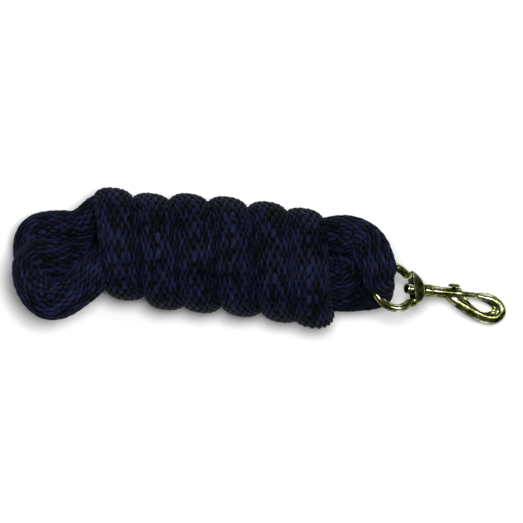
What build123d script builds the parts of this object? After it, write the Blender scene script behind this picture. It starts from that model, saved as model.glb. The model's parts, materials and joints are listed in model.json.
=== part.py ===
"""Lead rope wound in a hank, with a swivel-eye bolt snap.

Frame: millimetres, +Z up, +X along the hank towards the snap. The origin lies on the
surface under the middle of the whole object's box.
"""
from build123d import *
import math
import os

os.makedirs("parts", exist_ok=True)

# ---- driving dimensions: the hank ----
rope_diameter = 19.8
wrap_count = 6
wrap_pitch = 19.8
wrap_lean = 12.6            # degrees that the front of a turn leans off square
wrap_outer_radius = 30.3
wrap_crown_radius = 13.0    # how round the top of each pressed turn is
core_radius = 24.0
underside_flat = 2.0        # depth pressed flat where the hank lies
hank_middle = (-27.3, 5.98)  # where the wraps' middle stands in the frame
corner_share = 0.45         # of the shorter run at a corner, taken up by its arc

# ---- driving dimensions: the bights ----
snap_leg_diameter = 16.0    # the rope is pulled thin where it grips the ring
neck_diameter = 8.0         # squeezed inside the ring
neck_half_length = 9.2
neck_flare = 3.0
tail_diameter = 17.0
fused_length = 3.0
fused_inset = 0.5           # the melted cap is this much smaller than the tail
fused_rounding = 1.5

# ---- driving dimensions: the snap ----
ring_from_hank = (97.0, -3.9, 37.4)  # ring's middle, from the hank's middle and the surface
eye_wire = 4.2
eye_ring_radius = 11.6      # to the middle of the wire
boss_inner = 11.2           # crossbar's inner face, from the ring's middle
boss_face_half = 6.2        # half the straight length of that face
boss_radius = 10.0
boss_middle = 8.2
boss_thickness = 5.6
boss_rounding = 1.2
rivet_shank = 3.4
swivel_clearance = 0.08     # radial, rivet in the crossbar
rivet_head = 5.7
rivet_head_length = 3.6
rivet_head_rounding = 1.3
rivet_head_gap = 0.1        # head to crossbar
swivel_gap = 0.3            # end play between crossbar and body
rivet_grip = 3.0            # how far the shank is pressed into the collar
socket_wall = 0.9           # between the shank's end and the bolt's bore
collar_diameter = 6.2
collar_length = 4.2
collar_bevel = 0.5
barrel_diameter = 5.8
barrel_length = 22.2        # with the collar
bolt_diameter = 2.7
bolt_clearance = 0.09       # radial, bolt in its bore
bolt_length = 15.9
bolt_bevel = 0.4
gate_travel = 8.5
nose_left_out = 1.2         # of the bolt past the barrel when it is drawn back
hook_thickness = 4.6
throat_depth = 0.5          # how far the clearance for the bolt reaches into the barrel
throat_ease = 0.2           # radial, added to the bore's clearance there
gate_gap = 0.3              # bolt's nose to the hook's tip
stud_shank = 1.7
stud_clearance = 0.15
stud_from_rear = 2.2        # stud's middle from the bolt's rear face
stud_head = 6.2
stud_head_height = 1.6
stud_rise = 0.3             # under the head, above the barrel
stud_dome = 0.8             # share of the head's height that is rounded
spring_wire = 0.35
spring_turns = 7
spring_end_gap = 0.1
spring_side_gap = 0.05      # radial, coil inside the bolt's diameter
snap_dip = 30.0             # degrees that the snap slopes down to its hook
snap_yaw = 1.9
eye_roll = 22.0             # degrees that the ring is rolled on the snap's axis

joined = 0.2                # how far one solid is run into the next where they are one piece
sliver = 0.01               # keeps a cut off the face that it stops at

# ---- worked out ----
hank_axis_height = wrap_outer_radius - underside_flat
barrel_start = boss_middle + boss_radius + swivel_gap
barrel_end = barrel_start + barrel_length
bolt_nose = barrel_end + gate_travel + nose_left_out
bolt_rear = bolt_nose - bolt_length
bore_end = barrel_start + rivet_grip + socket_wall
stud_place = bolt_rear + stud_from_rear
hook_tip = bolt_nose + gate_gap


def hank_point(x, y, z):
    """A point given from the hank's middle and from the surface."""
    return Vector(hank_middle[0] + x, hank_middle[1] + y, z)


ring_middle = hank_point(*ring_from_hank)


def along_x(radius, start, end):
    """A round bar on the X axis from start to end."""
    disc = Plane.YZ.offset(start) * Circle(radius)
    return extrude(disc, end - start)


# The snap is drawn with its axis on +X, the hook's opening in XY and the origin in the
# ring's middle, and is then placed with these.
snap_place = Location(ring_middle) * Rotation(0, 0, snap_yaw) * Rotation(0, snap_dip, 0)
eye_place = snap_place * Rotation(-eye_roll, 0, 0)


# ---- rope ----
snap_route = [
    (40, 6, 33),
    (60, 15, 38),
    (79, 19.5, 45),
    (93.2, 15.5, 52.5),
    (93.6, -12.5, 33),
    (79, -13, 23),
    (61, -10, 22),
    (40, -7, 24),
]
far_route = [
    (-42, 9, 24),
    (-60, 4, 21),
    (-80, 4, 20),
    (-93, -6, 22),
    (-94, -21, 27),
    (-84, -32.5, 31),
    (-67, -31, 33),
    (-44, -15, 33),
]
tail_route = [
    (-46, 2, 44),
    (-58, -5, 47),
    (-72, -13, 43),
    (-78, -15, 30),
    (-78, -14, 12),
]


def route_radii(points):
    """The largest arc that each corner's two runs allow."""
    radii = []
    for before, corner, after in zip(points, points[1:], points[2:]):
        come = corner - before
        leave = after - corner
        turn = math.radians(come.get_angle(leave))
        shorter = min(come.length, leave.length)
        radii.append(corner_share * shorter / math.tan(turn / 2))
    return radii


def rope_tube(name, route, diameter):
    """A plain tube of straight runs and tangent arcs along a route."""
    points = [hank_point(*point) for point in route]
    radii = route_radii(points)
    path = FilletPolyline(*points, radius=radii)
    start = Plane(origin=path @ 0, z_dir=path % 0)
    tube = sweep(start * Circle(diameter / 2), path=path)
    expected = math.pi * diameter**2 / 4 * path.length
    print(name, "radii", [round(r, 1) for r in radii], "length", round(path.length, 1),
          "volume ratio", round(tube.volume / expected, 4))
    return tube


def make_wraps():
    """The wound bundle: leaning turns pressed side by side round the core."""
    ring_radius = wrap_outer_radius - wrap_crown_radius
    turns = None
    first = -(wrap_count - 1) / 2 * wrap_pitch
    for index in range(wrap_count):
        place = Location(hank_point(first + index * wrap_pitch, 0, hank_axis_height))
        upright = Rotation(0, 0, wrap_lean) * Rotation(0, 90, 0)
        turn = place * upright * Torus(ring_radius, wrap_crown_radius)
        turns = turn if turns is None else turns + turn
    end_bulge = wrap_crown_radius / 3
    reach = end_bulge - first
    core = Pos(hank_middle[0], hank_middle[1], hank_axis_height) * along_x(core_radius, -reach, reach)
    bundle = turns + core
    room = 4 * reach
    below = Pos(hank_middle[0], hank_middle[1], -room / 2) * Box(room, room, room)
    return bundle - below


def neck_groove(neck_top, neck_foot, middle):
    """What the ring squeezes out of the rope: a flared groove about the strand's line."""
    deep = neck_diameter / 2
    wide = rope_diameter
    flat = neck_half_length
    flare = flat + neck_flare
    edge = snap_leg_diameter / 2
    profile = Polygon(
        (deep, -flat), (edge, -flare), (wide, -flare), (wide, flare), (edge, flare), (deep, flat),
        align=None)
    tool = revolve(Plane.XZ * profile, Axis.Z)
    return Plane(origin=middle, z_dir=neck_top - neck_foot).location * tool


def make_snap_bight(wraps):
    tube = rope_tube("snap_end_bight", snap_route, snap_leg_diameter)
    return tube - wraps - neck_groove(neck_top, neck_foot, neck_middle)


def make_far_bight(wraps):
    tube = rope_tube("far_end_bight", far_route, rope_diameter)
    return tube - wraps


def make_tail(wraps, far_bight):
    tube = rope_tube("far_end_tail", tail_route, tail_diameter)
    return tube - wraps - far_bight


def make_fused_end():
    """The melted cap on the rope's end, under the tucked tail."""
    end = hank_point(*tail_route[-1])
    run = end - hank_point(*tail_route[-2])
    cap_radius = tail_diameter / 2 - fused_inset
    cap = Cylinder(cap_radius, fused_length, align=(Align.CENTER, Align.CENTER, Align.MIN))
    cap = fillet(cap.edges().group_by(Axis.Z)[-1], fused_rounding)
    return Plane(origin=end, z_dir=run).location * cap


# ---- snap ----
def make_eye():
    """Swivel ring with its crossbar boss, bored for the rivet."""
    ring = Torus(eye_ring_radius, eye_wire / 2)
    boss = Pos(boss_middle, 0, 0) * Cylinder(boss_radius, boss_thickness)
    boss = fillet(boss.edges(), boss_rounding)
    room = 4 * boss_radius
    inside = Pos(boss_inner - room / 2, 0, 0) * Box(room, room, room)
    window = Pos(boss_inner / 2, 0, 0) * Box(boss_inner, 2 * boss_face_half, room)
    bore = along_x(rivet_shank / 2 + swivel_clearance, 0, room)
    return ring - window + (boss - inside) - bore


def make_rivet():
    """Domed head in the ring, shank through the crossbar and into the collar."""
    head = along_x(rivet_head / 2, boss_inner - rivet_head_length, boss_inner - rivet_head_gap)
    head = fillet(head.edges().group_by(Axis.X)[0], rivet_head_rounding)
    shank = along_x(rivet_shank / 2, boss_inner - rivet_head_gap - joined, barrel_start + rivet_grip)
    return head + shank


def hook_outline():
    """The hook's face: a tapering horn from under the barrel round to the tip."""
    heel = (barrel_end - 9.5, -1.6)
    outer = Spline(heel, (barrel_end + 1.6, -8.6), (barrel_end + 13.0, -13.2),
                   (barrel_end + 22.5, -13.6), (barrel_end + 28.2, -8.0),
                   (barrel_end + 22.0, 0.2), (hook_tip + 3.0, 1.7), (hook_tip, 1.3),
                   tangents=[(0.75, -0.66), (-1, -0.16)])
    tip = Line((hook_tip, 1.3), (hook_tip, -1.8))
    inner = Spline((hook_tip, -1.8), (barrel_end + 16.0, -3.2), (barrel_end + 21.0, -6.5),
                   (barrel_end + 17.5, -8.4), (barrel_end + 9.5, -6.5), (barrel_end + 4.0, -2.0),
                   tangents=[(1, 0), (-0.7, 0.7)])
    throat = Line((barrel_end + 4.0, -2.0), (barrel_end - 1.0, -0.4))
    back = Line((barrel_end - 1.0, -0.4), heel)
    return make_face(outer + tip + inner + throat + back)


def make_hook_body():
    """Collar, barrel and hook in one casting, bored and slotted for the bolt."""
    horn = extrude(hook_outline(), hook_thickness / 2, both=True)
    collar = along_x(collar_diameter / 2, barrel_start, barrel_start + collar_length)
    collar = chamfer(collar.edges(), collar_bevel)
    barrel = along_x(barrel_diameter / 2, barrel_start + 2 * collar_bevel, barrel_end)
    bore = along_x(bolt_diameter / 2 + bolt_clearance, bore_end, hook_tip)
    socket = along_x(rivet_shank / 2, barrel_start - swivel_gap, barrel_start + rivet_grip)
    slot_radius = stud_shank / 2 + stud_clearance
    slot_length = gate_travel + 2 * slot_radius
    slot_middle = stud_place - gate_travel / 2
    slot = Pos(slot_middle, barrel_diameter / 2, 0) * Rotation(90, 0, 0) * extrude(
        SlotOverall(slot_length, 2 * slot_radius), barrel_diameter / 2, both=True)
    throat_radius = bolt_diameter / 2 + bolt_clearance + throat_ease
    throat = along_x(throat_radius, barrel_end - throat_depth, hook_tip - sliver)
    return horn + collar + barrel - bore - socket - slot - throat


def make_bolt():
    """The round plunger, cross-drilled for the stud."""
    bolt = along_x(bolt_diameter / 2, bolt_rear, bolt_nose)
    bolt = chamfer(bolt.edges().group_by(Axis.X)[-1], bolt_bevel)
    hole = Pos(stud_place, 0, 0) * Rotation(90, 0, 0) * Cylinder(stud_shank / 2, 3 * bolt_diameter)
    above = Pos(stud_place, -bolt_diameter / 2, 0) * Box(stud_shank * 2, bolt_diameter, bolt_diameter)
    return bolt - (hole - above)


def make_stud():
    """Thumb stud: shank in the bolt, round head above the slot."""
    under = barrel_diameter / 2 + stud_rise
    shank = Cylinder(stud_shank / 2, under + joined, align=(Align.CENTER, Align.CENTER, Align.MIN))
    head = Pos(0, 0, under) * Cylinder(
        stud_head / 2, stud_head_height, align=(Align.CENTER, Align.CENTER, Align.MIN))
    head = fillet(head.edges().group_by(Axis.Z)[-1], stud_head_height * stud_dome)
    return Pos(stud_place, 0, 0) * Rotation(-90, 0, 0) * (shank + head)


def make_spring():
    """Coil spring between the bore's end and the bolt."""
    length = bolt_rear - bore_end - 2 * spring_end_gap - spring_wire
    radius = bolt_diameter / 2 - spring_wire / 2 - spring_side_gap
    path = Helix(pitch=length / spring_turns, height=length, radius=radius)
    wire = Plane(origin=path @ 0, z_dir=path % 0) * Circle(spring_wire / 2)
    coil = sweep(wire, path=path, is_frenet=True)
    return Pos(bore_end + spring_end_gap + spring_wire / 2, 0, 0) * Rotation(0, 90, 0) * coil


neck_top = hank_point(*snap_route[3])
neck_foot = hank_point(*snap_route[4])
neck_line = (neck_top - neck_foot).normalized()
toward_ring = ring_middle - neck_foot
neck_middle = neck_foot + neck_line * toward_ring.dot(neck_line)

wraps = make_wraps()
snap_bight = make_snap_bight(wraps)
far_bight = make_far_bight(wraps)
tail = make_tail(wraps, far_bight)
nodes = {
    "rope_wraps": wraps,
    "snap_end_bight": snap_bight,
    "far_end_bight": far_bight,
    "far_end_tail": tail,
    "fused_end": make_fused_end() - far_bight,
    "swivel_eye": eye_place * make_eye(),
    "swivel_rivet": snap_place * make_rivet(),
    "hook_body": snap_place * make_hook_body(),
    "bolt": snap_place * make_bolt(),
    "thumb_stud": snap_place * make_stud(),
    "return_spring": snap_place * make_spring(),
}
for name, solid in nodes.items():
    export_step(solid, f"parts/{name}.step")

print("neck middle", neck_middle, "line", neck_line)
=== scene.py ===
import json
import math

import bpy
import numpy as np
from bpy.props import FloatProperty, FloatVectorProperty, IntProperty, PointerProperty
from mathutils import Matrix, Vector


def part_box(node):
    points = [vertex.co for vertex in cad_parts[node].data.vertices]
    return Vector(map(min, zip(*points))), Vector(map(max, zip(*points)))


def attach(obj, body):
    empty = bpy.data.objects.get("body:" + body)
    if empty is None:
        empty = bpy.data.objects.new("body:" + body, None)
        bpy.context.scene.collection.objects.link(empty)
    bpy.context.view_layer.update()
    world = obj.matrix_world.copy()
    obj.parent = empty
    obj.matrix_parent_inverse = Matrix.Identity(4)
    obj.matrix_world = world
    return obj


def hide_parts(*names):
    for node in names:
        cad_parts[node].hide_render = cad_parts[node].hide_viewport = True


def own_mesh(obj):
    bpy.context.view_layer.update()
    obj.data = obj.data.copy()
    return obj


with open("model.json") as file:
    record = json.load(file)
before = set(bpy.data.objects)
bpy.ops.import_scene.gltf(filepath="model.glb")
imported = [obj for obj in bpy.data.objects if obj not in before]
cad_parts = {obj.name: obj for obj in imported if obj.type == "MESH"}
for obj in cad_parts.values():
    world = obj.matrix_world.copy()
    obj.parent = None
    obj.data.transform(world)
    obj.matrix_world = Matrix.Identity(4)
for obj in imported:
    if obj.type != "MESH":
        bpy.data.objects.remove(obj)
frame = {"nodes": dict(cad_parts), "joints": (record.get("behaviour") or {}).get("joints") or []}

bl_info = {
    "name": "Lead rope",
    "version": (1, 0, 0),
    "blender": (4, 5, 0),
    "location": "View3D > Sidebar > Lead rope",
    "description": "Braided lead rope wound in a hank, with its swivel-eye bolt snap",
    "category": "Object",
}

MM = 0.001
SMALLEST_LENGTH = 1e-12
JOINTS = {joint["name"]: joint for joint in frame["joints"]}
WRAPS_LOW, WRAPS_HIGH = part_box("rope_wraps")
HANK = Vector(((WRAPS_LOW.x + WRAPS_HIGH.x) / 2, (WRAPS_LOW.y + WRAPS_HIGH.y) / 2, 0))
SNAP_AXIS = Vector(JOINTS["snap_swivel"]["axis"])
RING_MIDDLE = Vector(JOINTS["snap_swivel"]["pos_m"])
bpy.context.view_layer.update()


# ---- settings ----
class RopeSettings(bpy.types.PropertyGroup):
    diameter: FloatProperty(
        name="Rope diameter", description="Across the slack rope", default=0.0198, unit="LENGTH")
    turns: IntProperty(
        name="Turns", description="Turns wound round the core", default=6)
    carriers: IntProperty(
        name="Strands each way", description="Strands that spiral one way round the rope", default=20)
    braid_lay: FloatProperty(
        name="Braid lay", description="Rope length in which a strand goes once round",
        default=0.128, unit="LENGTH")
    relief: FloatProperty(
        name="Strand relief", description="How far a strand's crown stands over its edges",
        default=0.0013, unit="LENGTH")
    ring_step: FloatProperty(
        name="Ring step", description="Mesh spacing along the rope where it shows",
        default=0.00055, unit="LENGTH")
    around: IntProperty(
        name="Points around", description="Mesh points round the rope", default=160)
    colour: FloatVectorProperty(
        name="Fibre colour", description="Navy of the fibres", subtype="COLOR",
        default=(0.0017, 0.0028, 0.0034))
    # Painted highlight: glints of the filaments, mixed into the base colour on the crowns.
    glint: FloatVectorProperty(
        name="Glint colour", description="Filaments that catch the light", subtype="COLOR",
        default=(0.060, 0.056, 0.130))
    shade: FloatVectorProperty(
        name="Shade colour", description="Darkest fibres, deep between the strands", subtype="COLOR",
        default=(0.0004, 0.0010, 0.0008))


class SnapSettings(bpy.types.PropertyGroup):
    voxel: FloatProperty(
        name="Cast detail", description="Mesh spacing of the cast pieces", default=0.00024, unit="LENGTH")
    rounding: IntProperty(
        name="Edge rounding", description="Smoothing passes on cast edges", default=10)
    spring_turns: IntProperty(
        name="Spring turns", description="Turns of the return spring", default=7)
    spring_wire: FloatProperty(
        name="Spring wire", description="Across the spring's wire", default=0.00035, unit="LENGTH")
    spring_width: FloatProperty(
        name="Spring width", description="Across the spring's coil", default=0.0026, unit="LENGTH")
    brass: FloatVectorProperty(
        name="Plate colour", description="Brass plate", subtype="COLOR", default=(0.27, 0.29, 0.105))
    tarnish: FloatVectorProperty(
        name="Tarnish colour", description="Olive tarnish in the plate", subtype="COLOR",
        default=(0.030, 0.036, 0.007))


class StageSettings(bpy.types.PropertyGroup):
    view_width: FloatProperty(
        name="View width", description="Width that the camera sees at the hank", default=0.272,
        unit="LENGTH")
    distance: FloatProperty(
        name="Camera height", description="Camera above the floor", default=4.0, unit="LENGTH")
    roll: FloatProperty(
        name="Camera roll", description="Turn of the picture against the hank",
        default=math.radians(7.6), subtype="ANGLE")


# ---- mesh helpers ----
def add_object(name, data):
    made = bpy.data.objects.new(name, data)
    bpy.context.scene.collection.objects.link(made)
    return made


def mesh_piece(name, points, faces, material, smooth=True):
    mesh = bpy.data.meshes.new(name)
    mesh.vertices.add(len(points))
    mesh.vertices.foreach_set("co", np.asarray(points, np.float32).ravel())
    faces = np.asarray(faces, np.int32)
    mesh.loops.add(faces.size)
    mesh.loops.foreach_set("vertex_index", faces.ravel())
    mesh.polygons.add(len(faces))
    mesh.polygons.foreach_set("loop_start", np.arange(0, faces.size, faces.shape[1], dtype=np.int32))
    mesh.polygons.foreach_set("use_smooth", np.full(len(faces), smooth))
    mesh.update()
    mesh.validate()
    mesh.materials.append(material)
    return add_object(name, mesh)


def bake_modifiers(made):
    depsgraph = bpy.context.evaluated_depsgraph_get()
    finished = bpy.data.meshes.new_from_object(made.evaluated_get(depsgraph))
    made.modifiers.clear()
    made.data = finished


def unit(rows):
    return rows / np.maximum(np.linalg.norm(rows, axis=-1, keepdims=True), SMALLEST_LENGTH)


# ---- materials ----
def new_material(name):
    material = bpy.data.materials.new(name)
    material.use_nodes = True
    tree = material.node_tree
    return material, tree, tree.nodes["Principled BSDF"]


def math_node(tree, operation, first, second=None):
    node = tree.nodes.new("ShaderNodeMath")
    node.operation = operation
    for socket, value in zip(node.inputs, (first, second)):
        if value is None:
            continue
        if isinstance(value, (int, float)):
            socket.default_value = value
        else:
            tree.links.new(value, socket)
    return node.outputs[0]


def noise_node(tree, vector, scale, detail=4.0, roughness=0.5):
    node = tree.nodes.new("ShaderNodeTexNoise")
    node.inputs["Scale"].default_value = scale
    node.inputs["Detail"].default_value = detail
    node.inputs["Roughness"].default_value = roughness
    tree.links.new(vector, node.inputs["Vector"])
    return node.outputs["Fac"]


def ramp_node(tree, factor, stops):
    node = tree.nodes.new("ShaderNodeValToRGB")
    ramp = node.color_ramp
    halfway = 0.5
    while len(ramp.elements) < len(stops):
        ramp.elements.new(halfway)
    for element, (place, colour) in zip(ramp.elements, stops):
        element.position = place
        element.color = (*colour, 1.0)
    tree.links.new(factor, node.inputs["Fac"])
    return node.outputs["Color"]


def add_bump(tree, shader, height, strength, distance):
    bump = tree.nodes.new("ShaderNodeBump")
    bump.inputs["Strength"].default_value = strength
    bump.inputs["Distance"].default_value = distance
    tree.links.new(height, bump.inputs["Height"])
    tree.links.new(bump.outputs[0], shader.inputs["Normal"])


def scaled_and_raised(tree, value, scale, offset):
    return math_node(tree, "ADD", math_node(tree, "MULTIPLY", value, scale), offset)


# Painted highlight on the strands' crowns: how many times the fibre colour each channel is there.
CROWN_HIGHLIGHT = (7.8, 5.8, 15.0)
# Filament noise cells across a strand and along it.
FILAMENTS_ACROSS = 11.0
FILAMENTS_ALONG = 1.9
FILAMENT_ROUGHNESS = 0.75
BLOTCH_SCALE = 45.0
# What each part adds to the tone, which runs through the colours from shade to the painted highlight. The
# crown's share paints highlights on the crowns and shade between the strands.
FILAMENT_SHARE = 1.30
FILAMENT_DROP = 0.25
STRAND_SHARE = 0.34
BLOTCH_SHARE = 0.50
CROWN_SHARE = 0.40
TONE_SCALE = 0.62
SHADE_STOP = 0.38
FIBRE_STOP = 0.64
HIGHLIGHT_STOP = 0.92
GLINT_START = 0.57
GLINT_GAIN = 5.0
FIBRE_SPECULAR = 0.02


def braid_material(rope):
    """Polypropylene filaments: fine lines along each strand, with a painted highlight and painted glints on
    the crowns and painted shade between the strands.
    """
    material, tree, shader = new_material("braided_polypropylene")
    nodes, links = tree.nodes, tree.links
    uv = nodes.new("ShaderNodeUVMap")
    uv.uv_map = "strand"
    split = nodes.new("ShaderNodeSeparateXYZ")
    links.new(uv.outputs["UV"], split.inputs[0])
    across = split.outputs["X"]
    along = split.outputs["Y"]
    relief = nodes.new("ShaderNodeAttribute")
    relief.attribute_name = "crown"
    crown = relief.outputs["Fac"]
    place = nodes.new("ShaderNodeCombineXYZ")
    links.new(math_node(tree, "MULTIPLY", across, FILAMENTS_ACROSS), place.inputs["X"])
    links.new(math_node(tree, "MULTIPLY", along, FILAMENTS_ALONG), place.inputs["Y"])
    filaments = noise_node(tree, place.outputs[0], scale=1.0, roughness=FILAMENT_ROUGHNESS)
    strand_place = nodes.new("ShaderNodeCombineXYZ")
    links.new(math_node(tree, "FLOOR", across), strand_place.inputs["X"])
    links.new(math_node(tree, "FLOOR", along), strand_place.inputs["Y"])
    strand_tone = nodes.new("ShaderNodeTexWhiteNoise")
    links.new(strand_place.outputs[0], strand_tone.inputs["Vector"])
    coordinates = nodes.new("ShaderNodeTexCoord")
    blotches = noise_node(tree, coordinates.outputs["Object"], BLOTCH_SCALE, detail=3.0)
    tone = math_node(tree, "MULTIPLY", filaments, FILAMENT_SHARE)
    tone = math_node(tree, "SUBTRACT", tone, FILAMENT_DROP)
    # The crown's share lifts the tone on the crowns and lowers it between the strands: painted highlight
    # and painted shade.
    for part, share in ((strand_tone.outputs["Value"], STRAND_SHARE), (blotches, BLOTCH_SHARE),
                        (crown, CROWN_SHARE)):
        tone = math_node(tree, "ADD", tone, math_node(tree, "MULTIPLY", part, share))
    # Painted highlight: the ramp's top stop, reached on the crowns.
    painted_highlight = tuple(CROWN_HIGHLIGHT[k] * rope.colour[k] for k in range(3))
    colour = ramp_node(tree, math_node(tree, "MULTIPLY", tone, TONE_SCALE), [
        (SHADE_STOP, tuple(rope.shade)), (FIBRE_STOP, tuple(rope.colour)), (HIGHLIGHT_STOP, painted_highlight)])
    # Painted highlight: bright glints where the filament noise is high, on the crowns only.
    painted_glints = math_node(tree, "MULTIPLY", math_node(tree, "SUBTRACT", filaments, GLINT_START), GLINT_GAIN)
    painted_glints.node.use_clamp = True
    shine = nodes.new("ShaderNodeMix")
    shine.data_type = "RGBA"
    links.new(math_node(tree, "MULTIPLY", painted_glints, crown), shine.inputs["Factor"])
    links.new(colour, shine.inputs["A"])
    shine.inputs["B"].default_value = (*rope.glint, 1.0)
    links.new(shine.outputs["Result"], shader.inputs["Base Color"])
    rough = scaled_and_raised(tree, filaments, scale=-0.25, offset=0.62)
    links.new(rough, shader.inputs["Roughness"])
    shader.inputs["Specular IOR Level"].default_value = FIBRE_SPECULAR
    add_bump(tree, shader, filaments, strength=0.85, distance=0.35 * MM)
    return material


def melted_material(rope):
    """Fused polypropylene: smooth, darker, faintly rippled."""
    material, tree, shader = new_material("melted_polypropylene")
    place = tree.nodes.new("ShaderNodeTexCoord").outputs["Object"]
    ripples = noise_node(tree, place, scale=420.0, detail=3.0)
    melt_darkening = 0.6
    dark = tuple(channel * melt_darkening for channel in rope.colour)
    colour = ramp_node(tree, ripples, [(0.35, tuple(rope.shade)), (0.7, dark)])
    tree.links.new(colour, shader.inputs["Base Color"])
    rough = scaled_and_raised(tree, ripples, scale=0.3, offset=0.22)
    tree.links.new(rough, shader.inputs["Roughness"])
    add_bump(tree, shader, ripples, strength=0.5, distance=0.5 * MM)
    return material


# Painted dark reflection on the plate's rims: this dark edge tint takes the shine off where the plate is
# seen edge on.
EDGE_TINT = (0.20, 0.21, 0.14, 1.0)
# The plate's palest patches, and how far scratches and patches roughen and dent it.
PALE_PLATE = (0.95, 0.96, 0.74)
SCRATCH_STRETCH = (0.25, 1.6, 1.0)
SCRATCH_ROUGHNESS = 0.12
PATCH_ROUGHNESS = 0.08
POLISHED_ROUGHNESS = 0.07
SCRATCH_DEPTH = 0.06


def plate_material(snap):
    """Brass plate over a casting: olive tarnish in patches, tumbled ripples and fine scratches."""
    material, tree, shader = new_material("olive_brass")
    place = tree.nodes.new("ShaderNodeTexCoord").outputs["Object"]
    patches = noise_node(tree, place, scale=160.0, detail=5.0, roughness=0.6)
    colour = ramp_node(tree, patches, [
        (0.38, tuple(snap.tarnish)), (0.54, tuple(snap.brass)), (0.70, PALE_PLATE)])
    tree.links.new(colour, shader.inputs["Base Color"])
    shader.inputs["Metallic"].default_value = 1.0
    # Painted dark reflection: the edge tint darkens the rims.
    shader.inputs["Specular Tint"].default_value = EDGE_TINT
    stretched = tree.nodes.new("ShaderNodeMapping")
    stretched.inputs["Scale"].default_value = SCRATCH_STRETCH
    tree.links.new(place, stretched.inputs["Vector"])
    scratches = noise_node(tree, stretched.outputs[0], scale=2400.0, detail=2.0)
    rough = scaled_and_raised(tree, scratches, SCRATCH_ROUGHNESS, POLISHED_ROUGHNESS)
    rough = math_node(tree, "ADD", rough, math_node(tree, "MULTIPLY", patches, PATCH_ROUGHNESS))
    tree.links.new(rough, shader.inputs["Roughness"])
    ripples = noise_node(tree, place, scale=300.0, detail=2.0)
    height = math_node(tree, "ADD", ripples, math_node(tree, "MULTIPLY", scratches, SCRATCH_DEPTH))
    add_bump(tree, shader, height, strength=0.35, distance=0.4 * MM)
    return material


def spring_material():
    """Drawn steel wire with faint drawing marks."""
    material, tree, shader = new_material("drawn_steel")
    place = tree.nodes.new("ShaderNodeTexCoord").outputs["Object"]
    marks = noise_node(tree, place, scale=1500.0, detail=2.0)
    dark_steel = (0.32, 0.32, 0.33)
    bright_steel = (0.62, 0.62, 0.60)
    colour = ramp_node(tree, marks, [(0.3, dark_steel), (0.7, bright_steel)])
    tree.links.new(colour, shader.inputs["Base Color"])
    shader.inputs["Metallic"].default_value = 1.0
    rough = scaled_and_raised(tree, marks, scale=0.2, offset=0.2)
    tree.links.new(rough, shader.inputs["Roughness"])
    return material


def floor_material():
    """Plain pale matt floor."""
    material, tree, shader = new_material("pale_floor")
    place = tree.nodes.new("ShaderNodeTexCoord").outputs["Object"]
    grain = noise_node(tree, place, scale=30.0, detail=2.0)
    greyest = (0.93, 0.93, 0.93)
    palest = (0.96, 0.96, 0.96)
    colour = ramp_node(tree, grain, [(0.0, greyest), (1.0, palest)])
    tree.links.new(colour, shader.inputs["Base Color"])
    matt = 0.9
    shader.inputs["Roughness"].default_value = matt
    return material


# ---- rope route ----
# Each row: place from the hank's middle and the floor, the way out of its bend, and half of
# the pressed rope's width and thickness, in millimetres.
HANK_AXIS = 28.3
FREE = (9.4, 9.2)
CORE = (6.3, 6.2)
NECK = (4.4, 3.6)

SNAP_END = [
    ((30, -6.3, 22.5), (0, -1, -0.6), CORE),
    ((46, -8, 22.5), (0, -1, -0.6), (8.0, 7.6)),
    ((62, -11.0, 23), (0, -1, -0.4), FREE),
    ((76, -9.8, 24), (0.1, -1, -0.3), FREE),
    ((86.5, -8.5, 26.0), (0.7, -0.7, -0.3), (9.0, 7.4)),
    ((92.8, -8.6, 32.5), (0.87, 0, -0.5), (5.6, 4.4)),
    ((93.5, -4.7, 38.4), (0.87, 0, -0.5), NECK),
    ((93.6, -2.0, 44.6), (0.87, 0.2, -0.1), (5.6, 3.9)),
    ((90.0, -0.5, 52.0), (0.6, -0.3, 0.7), (9.4, 6.0)),
    ((86.5, 8.0, 53.0), (0.6, 0.3, 0.7), (9.8, 7.6)),
    ((80.5, 17.8, 49.5), (0.4, 0.8, 0.4), (9.8, 8.8)),
    ((69, 20.8, 44), (0, 0.9, 0.4), FREE),
    ((55, 17, 38), (0, 0.9, 0.4), (8.6, 8.4)),
    ((40, 7, 34.5), (0, 0.8, 0.6), CORE),
]
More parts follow.
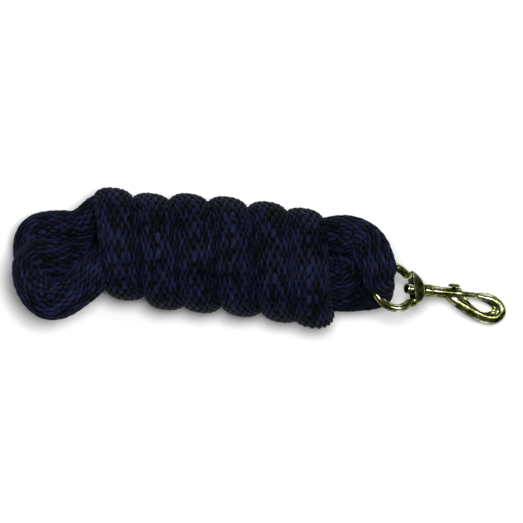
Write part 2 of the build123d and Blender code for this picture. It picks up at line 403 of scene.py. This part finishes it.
CORE_AND_FAR_LOOP = [
    ((10, 6.3, 34.6), (0, 0.7, 0.7), CORE),
    ((-25, 6.3, 34.6), (0, 0.7, 0.7), CORE),
    ((-44, -3, 36), (0, 0.3, 1), (7.4, 7.2)),
    ((-56, -14, 40), (0.2, -0.6, 0.8), (9.8, 9.2)),
    ((-66, -28, 41), (0.6, -0.8, 0.2), (10.2, 9.2)),
    ((-78.5, -35.8, 40), (-0.3, -1, 0.1), (9.8, 10.2)),
    ((-89.2, -27.0, 38), (-1, -0.3, 0.1), (9.6, 9.6)),
    ((-90.6, -14.0, 38), (-0.9, 0.6, 0.2), (9.6, 10.0)),
    ((-79, -13.5, 35), (0, 1, 0.3), (9.4, 10.2)),
    ((-66, -8, 29), (0.3, 0.8, 0), (8.6, 7.6)),
    ((-52, -1, 24), (0, 0.7, -0.7), CORE),
    ((-25, 6.3, 22), (0, 0.7, -0.7), CORE),
    ((10, 6.3, 22), (0, 0.7, -0.7), CORE),
    ((36, 5.5, 24), (0, 0.7, -0.7), CORE),
    ((56, 7.5, 28), (0, 0.8, -0.4), (8.6, 8.0)),
    ((70, 7.0, 31), (0.6, 0.7, 0), (8.6, 8.2)),
    ((75, 0.5, 33.5), (1, 0, 0.2), (8.4, 8.0)),
    ((68, -5.5, 37), (0.5, -0.8, 0.3), (8.8, 8.4)),
    ((54, -5.0, 38), (0, -0.8, 0.5), (8.6, 8.0)),
    ((36, -6.3, 35), (0, -0.7, 0.7), CORE),
    ((10, -6.3, 34.6), (0, -0.7, 0.7), CORE),
    ((-25, -6.3, 34.6), (0, -0.7, 0.7), CORE),
    ((-42, -7, 31), (-0.8, -0.3, 0), CORE),
    ((-42, -6, 23), (-0.8, -0.3, 0), CORE),
    ((-25, -4, 20.5), (0, -0.4, -0.9), CORE),
    ((5, -3, 20), (0, -0.3, -0.9), CORE),
    ((34, -2, 17), (0, -0.3, -0.9), CORE),
    ((50, -9, 10), (0, -0.5, -0.9), (8.0, 6.8)),
]
TUCKED_TAIL = [
    ((-59.2, 14.0, 26), (-0.7, 0.7, 0), (9.0, 9.4)),
    ((-68.5, 4.0, 23.5), (-0.4, 1, 0), (9.4, 9.0)),
    ((-81, 3.2, 20), (-0.2, 1, 0.1), FREE),
    ((-92.6, -0.4, 18), (-0.8, 0.7, 0), FREE),
    ((-92, -14, 18), (-1, 0, 0), FREE),
    ((-84, -27, 19), (-0.8, -0.7, 0), FREE),
    ((-75, -29, 20), (0.5, -0.9, 0), (8.6, 8.2)),
    ((-72, -17, 20), (0.9, 0.3, 0), (8.2, 8.0)),
    ((-77, -14.5, 12.5), (0.9, 0, 0.4), (8.0, 7.8)),
]

# The turns: distance between them, how far each leans across the top, and half its size.
TURN_PITCH = 19.8
TURN_FRONT_LEAN = 13.2
TURN_RADIUS = (22.3, 21.3)
TURN_SECTION = (10.3, 7.1)
POINTS_PER_TURN = 16
HALF_TURN = 0.5
LINE_DETAIL = 24
# A stitch in its cell of the braid: half its width and length, and how far it leans over.
STITCH_HALF = (0.80, 0.98)
STITCH_LEAN = 0.30
# How the stitch's place is shared between the whole cell and the spot inside it, for the fibres.
SPOT_SHARE = 0.4
# The pressed section lies between an ellipse (2) and a rounded box.
SQUARENESS = 2.35
# Stitches are full height from this half size up, and flatten as the rope is squeezed thinner.
FULL_HEIGHT_FROM = 7 * MM
LOWEST_RELIEF = 0.45
# Among the core strands the mesh is this many times coarser, as nobody sees it there.
HIDDEN_STEP = 3
CORE_HALF_LENGTH = 52 * MM
CORE_RADIUS = 13 * MM
# The underside is flattened over this height, just off the floor.
PRESS_DEPTH = 0.8 * MM
FLOOR_GAP = 0.05 * MM
# Each turn's near then far edge: how far it is shifted along the hank and swells out of it.
TURN_EDGES = [(2.6, 1.2), (2.9, 0.9), (5.4, 0.0), (3.7, 1.8), (4.2, -0.3), (2.5, 1.6),
              (2.6, 0.6), (2.5, 0.5), (4.2, 1.6), (2.7, -2.0), (2.7, -0.6), (2.5, -1.4)]


def wound_turns(turns):
    """Route rows of the winding, from the snap's end to the far end."""
    rows = []
    first = turns * TURN_PITCH / 2 - TURN_PITCH / 2 + TURN_FRONT_LEAN / 2
    lift = 1 / math.cos(math.pi / POINTS_PER_TURN)
    steps = int((turns - HALF_TURN) * POINTS_PER_TURN)
    for step in range(steps + 1):
        turn = step / POINTS_PER_TURN
        angle = 2 * math.pi * turn
        part = turn - int(turn)
        front = min(part, HALF_TURN) / HALF_TURN * TURN_FRONT_LEAN
        back = max(part - HALF_TURN, 0) / HALF_TURN * (TURN_PITCH - TURN_FRONT_LEAN)
        edge = turn / HALF_TURN
        shift = np.interp(edge, range(len(TURN_EDGES)), [row[0] for row in TURN_EDGES])
        swell = np.interp(edge, range(len(TURN_EDGES)), [row[1] for row in TURN_EDGES])
        x = first - int(turn) * TURN_PITCH - front - back + shift
        wide = (TURN_RADIUS[0] + swell) * lift
        tall = TURN_RADIUS[1] * lift
        y = -wide * math.cos(angle)
        z = HANK_AXIS + tall * math.sin(angle)
        rows.append(((x, y, z), (0, -math.cos(angle), math.sin(angle)), TURN_SECTION))
    return rows


def smooth_line(points, name):
    """Points of the NURBS line through the route, with the route's index at each of them."""
    data = bpy.data.curves.new(name, "CURVE")
    data.dimensions = "3D"
    data.resolution_u = LINE_DETAIL
    spline = data.splines.new("NURBS")
    spline.points.add(len(points) - 1)
    for point, place in zip(spline.points, points):
        point.co = (*place, 1.0)
    spline.order_u = 3
    spline.use_endpoint_u = True
    holder = add_object(name, data)
    mesh = bpy.data.meshes.new_from_object(holder)
    line = np.empty(len(mesh.vertices) * 3)
    mesh.vertices.foreach_get("co", line)
    line = line.reshape(-1, 3)
    bpy.data.objects.remove(holder)
    bpy.data.curves.remove(data)
    bpy.data.meshes.remove(mesh)
    spans = len(points) - 2
    halfway = 0.5
    index = np.linspace(0, spans, len(line)) + halfway
    index[0] = 0
    index[-1] = len(points) - 1
    return line, index


def spread(index, rows):
    """Values given at the route's points, at fractional places of its index."""
    rows = np.asarray(rows, float)
    places = np.arange(len(rows))
    return np.stack([np.interp(index, places, rows[:, k]) for k in range(rows.shape[1])], axis=1)


def rope_stations(line, index, fine, coarse, hidden):
    """Even steps along the line, longer where the rope is hidden in the hank."""
    runs = np.linalg.norm(np.diff(line, axis=0), axis=1)
    along = np.concatenate([[0], np.cumsum(runs)])
    step = np.where(hidden(line), coarse, fine)
    count = np.concatenate([[0], np.cumsum(runs / step[1:])])
    stations = np.interp(np.linspace(0, count[-1], int(count[-1]) + 1), count, along)
    places = np.stack([np.interp(stations, along, line[:, k]) for k in range(3)], axis=1)
    return stations, places, np.interp(stations, along, index), along[-1]


def stitch_shape(over, first_part, second_part):
    """Crown height, and place across and along the stitch, in each cell of the braid."""
    side = first_part + second_part
    along = first_part - second_part
    lean = np.where(over, STITCH_LEAN, -STITCH_LEAN)
    side = side - lean * along
    spread_out = (side / STITCH_HALF[0]) ** 2 + (along / STITCH_HALF[1]) ** 2
    return np.sqrt(np.clip(1 - spread_out, 0, 1)), side, along


def braid_surface(rope, places, tangents, outward, halves, stations):
    """Rope skin: a pressed section swept along the line, with each strand's crown raised."""
    outward = unit(outward - tangents * np.sum(outward * tangents, axis=1, keepdims=True))
    sideways = np.cross(tangents, outward)
    around = rope.around
    turn = np.arange(around) / around
    angle = 2 * np.pi * turn[None, :]
    twist = rope.carriers * stations[:, None] / rope.braid_lay
    first = rope.carriers * turn[None, :] + twist
    second = rope.carriers * turn[None, :] - twist
    over = (np.floor(first) + np.floor(second)) % 2 < 1
    cell_middle = 0.5
    first_part = first - np.floor(first) - cell_middle
    second_part = second - np.floor(second) - cell_middle
    crown, side, along = stitch_shape(over, first_part, second_part)
    cosine = np.sign(np.cos(angle)) * np.abs(np.cos(angle)) ** (2 / SQUARENESS)
    sine = np.sign(np.sin(angle)) * np.abs(np.sin(angle)) ** (2 / SQUARENESS)
    wide = halves[:, 0:1] * MM
    thick = halves[:, 1:2] * MM
    tight = np.clip(np.minimum(wide, thick) / FULL_HEIGHT_FROM, LOWEST_RELIEF, 1.0)
    middle_height = 0.5
    grown = (crown - middle_height) * rope.relief * tight
    flat = sideways[:, None, :] * (wide * cosine)[..., None]
    high = outward[:, None, :] * (thick * sine)[..., None]
    skin = places[:, None, :] + (flat + high)
    normals = unit(sideways[:, None, :] * (cosine / wide)[..., None]
                   + outward[:, None, :] * (sine / thick)[..., None])
    skin = skin + normals * grown[..., None]
    strand_across = np.floor(first) + cell_middle + SPOT_SHARE * side
    strand_along = np.floor(second) + cell_middle + SPOT_SHARE * along
    return skin, crown, np.stack([strand_across, strand_along], axis=-1)


def press_on_floor(points, floor):
    """The underside pressed flat: nothing lower than the floor, and its crowns squeezed."""
    z = points[:, 2]
    low = z < floor + PRESS_DEPTH
    z[low] = floor + PRESS_DEPTH * np.exp((z[low] - floor - PRESS_DEPTH) / PRESS_DEPTH)
    return points


def tube_faces(rings, around):
    ring = np.arange(rings - 1)[:, None] * around
    place = np.arange(around)[None, :]
    following = (place + 1) % around
    quads = np.stack([ring + place, ring + following, ring + around + following, ring + around + place], -1)
    return quads.reshape(-1, 4)


def add_strand_uv(mesh, labels):
    layer = mesh.uv_layers.new(name="strand")
    corner = np.empty(len(mesh.loops), np.int32)
    mesh.loops.foreach_get("vertex_index", corner)
    layer.data.foreach_set("uv", labels[corner].astype(np.float32).ravel())


def hidden_in_core(line):
    """Which of the line's points lie among the core strands, inside the turns."""
    inside = np.abs(line[:, 0] - HANK.x) < CORE_HALF_LENGTH
    radius = np.hypot(line[:, 1] - HANK.y, line[:, 2] - HANK_AXIS * MM)
    return inside & (radius < CORE_RADIUS)


def make_rope(rope):
    """The whole rope as one braided skin swept along its route."""
    rows = SNAP_END + CORE_AND_FAR_LOOP + wound_turns(rope.turns) + TUCKED_TAIL
    control = [HANK + Vector(place) * MM for place, _, _ in rows]
    line, index = smooth_line(control, "rope_line")
    stations, places, index, length = rope_stations(
        line, index, rope.ring_step, HIDDEN_STEP * rope.ring_step, hidden_in_core)
    tangents = unit(np.gradient(places, axis=0))
    outward = spread(index, [out for _, out, _ in rows])
    halves = spread(index, [half for _, _, half in rows])
    skin, crown, labels = braid_surface(rope, places, tangents, outward, halves, stations)
    points = press_on_floor(skin.reshape(-1, 3), FLOOR_GAP)
    faces = tube_faces(len(places), rope.around)[:, ::-1]
    piece = mesh_piece("braided_rope", points, faces, braid_material(rope))
    add_strand_uv(piece.data, labels.reshape(-1, 2))
    attribute = piece.data.attributes.new("crown", "FLOAT", "POINT")
    attribute.data.foreach_set("value", crown.ravel().astype(np.float32))
    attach(piece, "rope")
    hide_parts("rope_wraps", "snap_end_bight", "far_end_bight", "far_end_tail")


# The melted tip: the way it faces, its share of the rope's width, its dome and the lumps round it.
TIP_RUN = Vector((-5, 2.5, -7.5))
TIP_SHARE = 0.40
TIP_AROUND = 72
TIP_RINGS = 22
DOME_DEPTH = 3.2 * MM
DOME_FULLNESS = 0.7
DOME_SMALLEST = 0.02
RIM_DEPTH = 1.4 * MM
LUMPS = 5
LUMP_HEIGHT = 0.045
RIPPLES = 11
RIPPLE_HEIGHT = 0.03


def make_fused_end(rope):
    """Melted cap on the rope's end: a lathed dome with drips pulled round its rim."""
    low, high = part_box("fused_end")
    middle = (low + high) / 2
    run = TIP_RUN.normalized()
    side = run.orthogonal().normalized()
    up = run.cross(side)
    radius = rope.diameter * TIP_SHARE
    points = []
    for ring in range(TIP_RINGS):
        part = ring / (TIP_RINGS - 1)
        reach = max(math.sin(part * math.pi / 2) ** DOME_FULLNESS, DOME_SMALLEST)
        depth = (1 - part) * DOME_DEPTH - RIM_DEPTH
        for spot in range(TIP_AROUND):
            angle = 2 * math.pi * spot / TIP_AROUND
            lump = 1 + LUMP_HEIGHT * math.sin(LUMPS * angle + 1) * part
            lump += RIPPLE_HEIGHT * math.sin(RIPPLES * angle)
            across = side * math.cos(angle) + up * math.sin(angle)
            points.append(middle + across * radius * reach * lump + run * depth)
    faces = tube_faces(TIP_RINGS, TIP_AROUND)
    piece = mesh_piece("melted_tip", points, faces, melted_material(rope))
    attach(piece, "rope")
    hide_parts("fused_end")


# ---- snap ----
# The horn's middle line: along the snap from the ring's middle, to its side, and half its width.
HORN = [(31, -1.4, 1.8), (38, -4.0, 3.0), (46, -7.4, 3.3), (53, -10.0, 3.2), (60, -11.6, 3.1),
        (66.2, -10.0, 3.5), (66.4, -5.0, 3.5), (62.0, -1.9, 2.8), (57, -1.0, 2.3), (50.7, -0.3, 1.7)]
HORN_ROUNDNESS = 2.4
HORN_THINNEST = 0.04
# Where the horn's crowning starts past the barrel's mouth and below the barrel, and its fading in.
PAST_BARREL = (41.2, 1.5)
UNDER_BARREL = (1.9, 1.4)
# Start and end of the return spring in the bore, and the mesh of its wire.
SPRING_SPAN = (22.5, 34.4)
WIRE_STEPS_PER_TURN = 36
WIRE_AROUND = 14


def round_horn(mesh):
    """The horn's flat faces crowned to an oval section, as a casting is; the barrel is left."""
    side = Vector((0, 0, 1)).cross(SNAP_AXIS).normalized()
    axes = np.array([SNAP_AXIS, side, SNAP_AXIS.cross(side)])
    points = np.empty(len(mesh.vertices) * 3)
    mesh.vertices.foreach_get("co", points)
    local = (points.reshape(-1, 3) - np.array(RING_MIDDLE)) @ axes.T / MM
    line, _ = smooth_line(HORN, "horn_line")
    apart = np.linalg.norm(local[:, None, :2] - line[None, :, :2], axis=2)
    nearest = apart.argmin(axis=1)
    part = apart[np.arange(len(local)), nearest] / line[nearest, 2]
    crowned = np.sqrt(np.clip(1 - part ** HORN_ROUNDNESS, HORN_THINNEST, 1))
    past_barrel = np.clip((local[:, 0] - PAST_BARREL[0]) / PAST_BARREL[1], 0, 1)
    under_barrel = np.clip((-UNDER_BARREL[0] - local[:, 1]) / UNDER_BARREL[1], 0, 1)
    share = np.maximum(past_barrel, under_barrel)
    local[:, 2] *= 1 + share * (crowned - 1)
    rounded = local * MM @ axes + np.array(RING_MIDDLE)
    mesh.vertices.foreach_set("co", rounded.ravel())


def cast_piece(name, node, body, material, snap, shape=None):
    """A cast or turned metal piece: the node's own shape with softened edges."""
    source = frame["nodes"][node]
    made = add_object(name, source.data.copy())
    made.data.materials.clear()
    made.data.materials.append(material)
    remesh = made.modifiers.new("even_mesh", "REMESH")
    remesh.mode = "VOXEL"
    remesh.voxel_size = snap.voxel
    remesh.use_smooth_shade = True
    bake_modifiers(made)
    if shape:
        shape(made.data)
    soften = made.modifiers.new("soft_edges", "SMOOTH")
    soften.iterations = snap.rounding
    bake_modifiers(made)
    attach(made, body)
    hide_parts(node)


def make_coil(snap):
    """Return spring: a round wire wound in the bore."""
    side = Vector((0, 0, 1)).cross(SNAP_AXIS).normalized()
    up = SNAP_AXIS.cross(side)
    start, end = SPRING_SPAN
    count = snap.spring_turns * WIRE_STEPS_PER_TURN + 1
    wire = snap.spring_wire / 2
    radius = snap.spring_width / 2 - wire
    angle = np.linspace(0, 2 * math.pi * snap.spring_turns, count)
    along = np.linspace(start * MM + wire, end * MM - wire, count)
    out = np.cos(angle)[:, None] * np.array(side) + np.sin(angle)[:, None] * np.array(up)
    line = np.array(RING_MIDDLE) + along[:, None] * np.array(SNAP_AXIS) + radius * out
    tangents = unit(np.gradient(line, axis=0))
    across = np.cross(tangents, out)
    spot = 2 * math.pi * np.arange(WIRE_AROUND) / WIRE_AROUND
    ring = out[:, None, :] * np.cos(spot)[None, :, None] + across[:, None, :] * np.sin(spot)[None, :, None]
    points = line[:, None, :] + wire * ring
    faces = tube_faces(count, WIRE_AROUND)
    piece = mesh_piece("coil_spring", points.reshape(-1, 3), faces, spring_material())
    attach(piece, "snap")
    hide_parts("return_spring")
    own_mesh(piece)


def plate():
    """The one plate material that all the cast and turned pieces share."""
    found = bpy.data.materials.get("olive_brass")
    return found or plate_material(bpy.context.scene.lead_rope_snap)


# ---- stage ----
FLOOR_HALF = 3.0
FRAME_WIDTH = 36.0
FARTHEST_SEEN = 20
CAMERA_OFFSET = (0.0002, 0.0062)
SKY_COLOUR = (0.95, 0.97, 1.0, 1.0)
SKY_STRENGTH = 0.10
# Each light: its place, what it points at, its width and height, and its power in watts.
LIGHTS = {
    "flash": ((0.05, 0.12, 1.3), (0, 0, 0), (0.35, 0.35), 16.5),
    "right_box": ((1.2, 0.15, 0.72), (0.1, 0, 0), (0.20, 0.45), 2.4),
    "left_box": ((-1.0, 0.2, 0.7), (0, 0, 0), (0.5, 0.8), 3.0),
    "back_box": ((0.4, 1.1, 0.8), (0.1, 0, 0), (1.0, 0.3), 1.6),
}


def add_area(name, place, target, size, power):
    data = bpy.data.lights.new(name, "AREA")
    data.shape = "RECTANGLE"
    data.size = size[0]
    data.size_y = size[1]
    data.energy = power
    lamp = add_object(name, data)
    lamp.location = place
    lamp.rotation_mode = "QUATERNION"
    lamp.rotation_quaternion = (Vector(target) - Vector(place)).to_track_quat("-Z", "Y")


def make_stage(stage):
    """Floor, camera straight above, weak even sky and four soft lights."""
    scene = bpy.context.scene
    half = FLOOR_HALF
    corners = [(-half, -half, 0), (half, -half, 0), (half, half, 0), (-half, half, 0)]
    floor = mesh_piece("floor", corners, [(0, 1, 2, 3)], floor_material(), smooth=False)
    camera = bpy.data.cameras.new("camera")
    camera.sensor_width = FRAME_WIDTH
    camera.lens = camera.sensor_width * (stage.distance - HANK_AXIS * MM) / stage.view_width
    camera.clip_end = FARTHEST_SEEN
    holder = add_object("camera", camera)
    holder.location = (*CAMERA_OFFSET, stage.distance)
    holder.rotation_euler = (0, 0, stage.roll)
    scene.camera = holder
    world = bpy.data.worlds.new("studio")
    world.use_nodes = True
    background = world.node_tree.nodes["Background"]
    background.inputs["Color"].default_value = SKY_COLOUR
    background.inputs["Strength"].default_value = SKY_STRENGTH
    scene.world = world
    for name, (place, target, size, power) in LIGHTS.items():
        add_area(name, place, target, size, power)
    scene.view_settings.view_transform = "Standard"


# ---- operators ----
class LEADROPE_OT_stage(bpy.types.Operator):
    """Floor, camera and soft lights"""
    bl_idname = "leadrope.stage"
    bl_label = "Stage"

    def execute(self, context):
        make_stage(context.scene.lead_rope_stage)
        return {"FINISHED"}


class LEADROPE_OT_rope(bpy.types.Operator):
    """The whole braided rope, from its spliced eye through the hank to its tail"""
    bl_idname = "leadrope.rope"
    bl_label = "Braided rope"

    def execute(self, context):
        make_rope(context.scene.lead_rope)
        make_fused_end(context.scene.lead_rope)
        return {"FINISHED"}


class LEADROPE_OT_eye(bpy.types.Operator):
    """Swivel eye and the rivet in its crossbar"""
    bl_idname = "leadrope.eye"
    bl_label = "Swivel eye and rivet"

    def execute(self, context):
        snap = context.scene.lead_rope_snap
        cast_piece("cast_eye", "swivel_eye", "eye", plate(), snap)
        cast_piece("domed_rivet", "swivel_rivet", "snap", plate(), snap)
        return {"FINISHED"}


class LEADROPE_OT_hook(bpy.types.Operator):
    """Hook body with its barrel"""
    bl_idname = "leadrope.hook"
    bl_label = "Hook body"

    def execute(self, context):
        cast_piece("cast_hook", "hook_body", "snap", plate(), context.scene.lead_rope_snap, round_horn)
        return {"FINISHED"}


class LEADROPE_OT_bolt(bpy.types.Operator):
    """Sliding bolt, its thumb stud and its spring"""
    bl_idname = "leadrope.bolt"
    bl_label = "Bolt, stud and spring"

    def execute(self, context):
        snap = context.scene.lead_rope_snap
        cast_piece("turned_bolt", "bolt", "plunger", plate(), snap)
        cast_piece("domed_stud", "thumb_stud", "plunger", plate(), snap)
        make_coil(snap)
        return {"FINISHED"}


class LEADROPE_PT_panel(bpy.types.Panel):
    """Lists the pieces of the lead rope"""
    bl_idname = "LEADROPE_PT_panel"
    bl_label = "Lead rope"
    bl_space_type = "VIEW_3D"
    bl_region_type = "UI"
    bl_category = "Lead rope"

    def draw(self, context):
        for operator in OPERATORS:
            self.layout.operator(operator.bl_idname)


OPERATORS = (LEADROPE_OT_stage, LEADROPE_OT_rope, LEADROPE_OT_eye, LEADROPE_OT_hook, LEADROPE_OT_bolt)
SETTINGS = {"lead_rope": RopeSettings, "lead_rope_snap": SnapSettings, "lead_rope_stage": StageSettings}


def register():
    for name, group in SETTINGS.items():
        bpy.utils.register_class(group)
        setattr(bpy.types.Scene, name, PointerProperty(type=group))
    for operator in OPERATORS:
        bpy.utils.register_class(operator)
    bpy.utils.register_class(LEADROPE_PT_panel)


def unregister():
    bpy.utils.unregister_class(LEADROPE_PT_panel)
    for operator in reversed(OPERATORS):
        bpy.utils.unregister_class(operator)
    for name, group in SETTINGS.items():
        delattr(bpy.types.Scene, name)
        bpy.utils.unregister_class(group)


def main():
    register()
    for operator in OPERATORS:
        family, name = operator.bl_idname.split(".")
        getattr(getattr(bpy.ops, family), name)()


if __name__ == "__main__":
    main()
